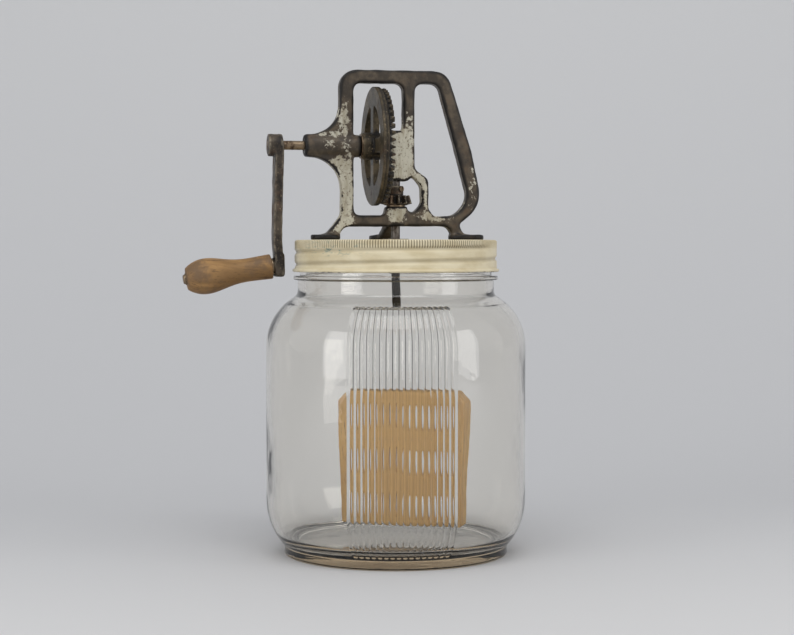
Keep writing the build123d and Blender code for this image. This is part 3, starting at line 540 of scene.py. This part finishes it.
def make_cap():
    """The tin cap with its curled edge, rolled thread and knurled top edge."""
    columns, knurls = 1440, 240
    angles = np.arange(columns) * 360 / columns
    swing = np.radians(angles)
    inner, tin, bottom, top = 70.0, 0.6, 196.8, 219.0
    wall = inner + tin
    curl = (inner + 1.1, bottom + 1.1)
    outer = chain(
        arc(curl, 1.1, -180, 100, 0.25),
        straight((wall, bottom + 2.4), (wall, top - 1.7), 0.45),
        arc((wall - 1.6, top - 1.6), 1.6, 0, 90, 0.3),
        straight((wall - 3, top), (6.06, top), 6),
    )
    under = chain(
        straight((6.06, top - tin), (inner - 2, top - tin), 8),
        arc((inner - 1.2, top - tin - 1.2), 1.2, 90, 0, 0.4),
        straight((inner, top - 3), (inner, bottom + 1.8), 0.7),
    )
    start, lead, turns = 200.1, 90.0, 1.65
    rows, dirt, chip = [], [], []
    for side, profile in ((1, outer), (-1, under)):
        for radius, height in profile:
            groove = np.zeros(columns)
            if radius > inner - 0.5 and bottom + 2 < height < top - 2:
                for lap in (-1, 0, 1, 2):
                    turned = (angles - lead) % 360 + 360 * lap
                    away = np.abs(height - start - THREAD_PITCH * turned / 360)
                    shape = np.cos(np.minimum(away / 2.3, 1) * math.pi / 2) ** 2
                    ends = np.clip(turned / 12, 0, 1) * np.clip((360 * turns - turned) / 12, 0, 1)
                    groove = np.maximum(groove, shape * ends)
            knurl = np.zeros(columns)
            if radius > wall - 2.2 and height > 213 and side == 1:
                share = min(1, (height - 213) / 0.9) * min(1, max(0, (top + 0.1 - height) / 0.8))
                knurl = share * np.clip(0.35 - np.cos(swing * knurls), 0, 1)
            dent = 0.05 * np.sin(7 * swing + height / 3) + 0.05 * np.sin(17 * swing + 1)
            rows.append((radius - 1.15 * groove - 0.42 * knurl + dent * (side > 0), height + 0 * swing))
            dirt.append(np.clip(0.35 * groove + 0.9 * knurl, 0, 1) if side > 0 else 0 * swing)
            edge = max(0, 1 - (height - bottom) / 1.6) if side > 0 and height < bottom + 3 else 0
            rim = max(0, 1 - abs(height - (top - 0.4)) / 0.5) * (radius > wall - 2)
            ends = np.exp(-(((radius * np.cos(swing) - 48) / 14) ** 2)) + np.exp(-(((radius * np.cos(swing) + 58) / 8) ** 2))
            chip.append(edge * (0.38 + 0.16 * ends) + 0.17 * rim - 0.05 + 0 * swing)
    grid = np.array([[r * np.cos(swing), r * np.sin(swing), z] for r, z in rows]).transpose(0, 2, 1) * MM
    made = lathe("cap_tin", grid, closed_rows=True)
    point_values(made, "dirt", np.array(dirt).ravel())
    point_values(made, "chip", np.array(chip).ravel())
    where = points_of(made) / MM
    left = np.exp(-(((where[:, 0] + 52) / 16) ** 2) - ((where[:, 2] - 213) / 4.5) ** 2) * (where[:, 1] < 0)
    point_values(made, "scuff", left)
    return dress(made, CAP, "screw_cap")


def cast_copy(node, material, voxel, smooth, rough=0.0, name=None, swell=0.0):
    """A closed, softened copy of a CAD node, for edges that are rounded as in a casting."""
    made = bpy.data.objects.new(name or node + "_cast", nodes[node].data.copy())
    scene.collection.objects.link(made)
    remesh = made.modifiers.new("Remesh", "REMESH")
    remesh.mode, remesh.voxel_size, remesh.use_smooth_shade = "VOXEL", voxel * MM, True
    if smooth:
        ease = made.modifiers.new("Smooth", "SMOOTH")
        ease.factor, ease.iterations = 0.5, smooth
    graph = bpy.context.evaluated_depsgraph_get()
    mesh = bpy.data.meshes.new_from_object(made.evaluated_get(graph))
    made.modifiers.clear()
    made.data = mesh
    for polygon in mesh.polygons:
        polygon.use_smooth = True
    if rough or swell:
        places = points_of(made)
        directions = np.array([vertex.normal for vertex in mesh.vertices])
        lift = np.array([noise.noise(Vector(place) * 160) - 0.5 for place in places])
        places += directions * ((lift * rough + swell) * MM)[:, None]
        mesh.vertices.foreach_set("co", places.ravel())
        mesh.update()
    point_values(made, "ridge", curve_of(made, voxel))
    return dress(made, material, node)


def curve_of(made, voxel):
    """How far each point stands out of its surroundings: ridges above 0, grooves below."""
    mesh = made.data
    count = len(mesh.vertices)
    ends = np.empty(2 * len(mesh.edges), dtype=np.int64)
    mesh.edges.foreach_get("vertices", ends)
    first, second = ends[0::2], ends[1::2]
    share = np.bincount(ends, minlength=count).clip(1)

    def spread(values):
        total = np.bincount(first, weights=values[second], minlength=count)
        return (total + np.bincount(second, weights=values[first], minlength=count)) / share

    places = points_of(made)
    normals = np.array([vertex.normal for vertex in mesh.vertices])
    curve = sum((places[:, axis] - spread(places[:, axis])) * normals[:, axis] for axis in range(3))
    for _ in range(12):
        curve = 0.5 * curve + 0.5 * spread(curve)
    return np.clip(curve / (0.07 * voxel * MM), -2, 2)


def make_frame():
    made = cast_copy("gear_frame", CASTING, 0.7, 22, 0.25, "frame_casting", 0.28)
    where = points_of(made) / MM
    # Remnants of paint: x, z, half width, half height and strength
    patches = (
        (-38, 302, 5, 13, 0.5), (-46, 292, 12, 3.5, 0.42), (-37, 253, 8, 26, 0.62), (-41, 273, 9, 5, 0.52),
        (-38, 231, 8, 8, 0.52), (3, 277, 12, 21, 0.66), (9, 300, 5, 12, 0.36), (16, 262, 8, 9, 0.58),
        (21, 250, 6, 14, 0.52), (26, 236, 13, 6, 0.5), (0, 238, 9, 8, 0.46), (-40, 285, 17, 7, 0.28),
        (55, 256, 4, 18, 0.34), (46, 242, 9, 5, 0.28), (-48, 225, 8, 4, 0.2),
    )
    level = np.zeros(len(where))
    for x, z, wide, high, strength in patches:
        far = ((where[:, 0] - x) / wide) ** 2 + ((where[:, 2] - z) / high) ** 2
        level = np.maximum(level, strength * np.exp(-(far**1.5) * 0.7))
    point_values(made, "paint", level)
    return made


def make_gear():
    """The drive gear, dark between and round its teeth: painted shade, with old lubricant."""
    made = cast_copy("drive_gear", GEAR_IRON, 0.45, 2, 0.12, "gear_casting")
    where = points_of(made) / MM
    radius = np.hypot(where[:, 1], where[:, 2] - GEAR_AXIS)
    face = where[radius > 30][:, 0].min()
    grease_and_shade = np.clip((where[:, 0] - face - 1.2) / 0.8, 0, 1) * np.clip((radius - 33) / 1.5, 0, 1)
    grease_and_shade = np.maximum(grease_and_shade, 0.75 * np.clip((14.5 - radius) / 2, 0, 1))
    ridge = np.empty(len(where))
    made.data.attributes["ridge"].data.foreach_get("value", ridge)
    # The teeth band and the middle near the hub take the groove colour: painted shade with old lubricant.
    point_values(made, "ridge", np.minimum(ridge, 0.3) - 0.6 * grease_and_shade)


def small_part(node, material, bevel=0.3):
    piece = nodes[node]
    dress(piece, material)
    edge = piece.modifiers.new("Bevel", "BEVEL")
    edge.width, edge.segments, edge.limit_method, edge.angle_limit = bevel * MM, 2, "ANGLE", math.radians(40)
    return piece


make_jar()
make_cap()
make_frame()
make_gear()
cast_copy("pinion", RUSTY_IRON, 0.4, 2, 0.1, "pinion_casting")
cast_copy("crank_arm", DARK_IRON, 0.6, 16, 0.25, "arm_forging", 0.2)
cast_copy("handle_grip", GRIP_WOOD, 0.5, 6, 0.0, "grip_turned")
cast_copy("dasher_paddle", PADDLE_WOOD, 0.8, 4, 0.15, "paddle_board")
for part_name in ("crank_shaft", "gear_pin", "arm_pin", "handle_rod", "grip_collar", "grip_washer", "pinion_screw",
                  "pinion_washer", "foot_screws", "foot_washers", "gear_washer", "paddle_pins"):
    small_part(part_name, STEEL, 0.15)
small_part("dasher_shaft", SHAFT, 0.1)
small_part("cap_bush", TIN, 0.2)
small_part("sealing_ring", RUBBER, 0.2)

# Floor and backdrop in one sweep, square to the camera
turn = math.radians(CAMERA_TURN)
ahead = Vector((-math.sin(turn), math.cos(turn), 0))
right = Vector((math.cos(turn), math.sin(turn), 0))
BEND_START, BEND_RADIUS, WALL_TOP, HALF_WIDTH = 0.26, 0.9, 3.2, 3.4
profile = [(-3.2, 0.0), (-1.0, 0.0)]
profile += [(distance, 0.0) for distance in np.linspace(-0.6, BEND_START, 8)]
for angle in np.radians(np.linspace(3, 90, 30)):
    profile.append((BEND_START + BEND_RADIUS * math.sin(angle), BEND_RADIUS * (1 - math.cos(angle))))
profile.append((BEND_START + BEND_RADIUS, WALL_TOP))
sweep_points = [ahead * far + right * side + Vector((0, 0, up)) for far, up in profile for side in (-HALF_WIDTH, HALF_WIDTH)]
sweep_faces = [(2 * k, 2 * k + 1, 2 * k + 3, 2 * k + 2) for k in range(len(profile) - 1)]
sweep = mesh_object("backdrop", sweep_points, sweep_faces)
paper = Shade("backdrop_paper", None, 0.8)
paper.place()
# Painted light falloff: the floor lighter at the front and darker towards the wall, the wall lighter again higher up.
away = paper.add("SeparateXYZ", {"Vector": paper.where}, "Y")
lower = paper.mix(paper.step(away, -0.45, 0.36), rgb(217, 217, 218), rgb(202, 203, 206))
paper.set("Base Color", paper.mix(paper.step(paper.height(), 0.05, 0.7), lower, rgb(209, 210, 212)))
paper.bump(paper.noise(300, 3, 0.5), 0.0002, 0.2)
sweep.data.materials.append(paper.material)

# Light: a grey room and two large soft boxes
world = bpy.data.worlds.new("studio")
world.use_nodes = True
world.node_tree.nodes["Background"].inputs["Color"].default_value = (1.0, 1.0, 1.0, 1)
world.node_tree.nodes["Background"].inputs["Strength"].default_value = 0.56
scene.world = world


def soft_box(name, place, target, size, power):
    lamp = bpy.data.lights.new(name, "AREA")
    lamp.shape, lamp.size, lamp.size_y, lamp.energy = "RECTANGLE", size[0], size[1], power
    made = bpy.data.objects.new(name, lamp)
    scene.collection.objects.link(made)
    made.location = place
    made.rotation_mode = "QUATERNION"
    made.rotation_quaternion = (Vector(target) - Vector(place)).to_track_quat("-Z", "Y")
    return made


soft_box("box_left", (-1.42, -0.68, 0.56), (0, 0, 0.45), (0.72, 1.1), 5.0)
soft_box("box_right", (1.28, -0.98, 0.56), (0, 0, 0.45), (0.6, 1.1), 4.4)
soft_box("box_top", (-0.2, -1.15, 2.0), (0, -0.3, 0.0), (2.0, 1.2), 17)

# Camera
lens = bpy.data.cameras.new("camera")
lens.lens, lens.sensor_width = CAMERA_LENS, 36.0
camera = bpy.data.objects.new("camera", lens)
scene.collection.objects.link(camera)
camera.location = CAMERA_PLACE
sight = ahead * math.cos(math.radians(CAMERA_PITCH)) - Vector((0, 0, math.sin(math.radians(CAMERA_PITCH))))
camera.rotation_mode = "QUATERNION"
camera.rotation_quaternion = sight.to_track_quat("-Z", "Y")
scene.camera = camera
scene.view_settings.view_transform = "Standard"
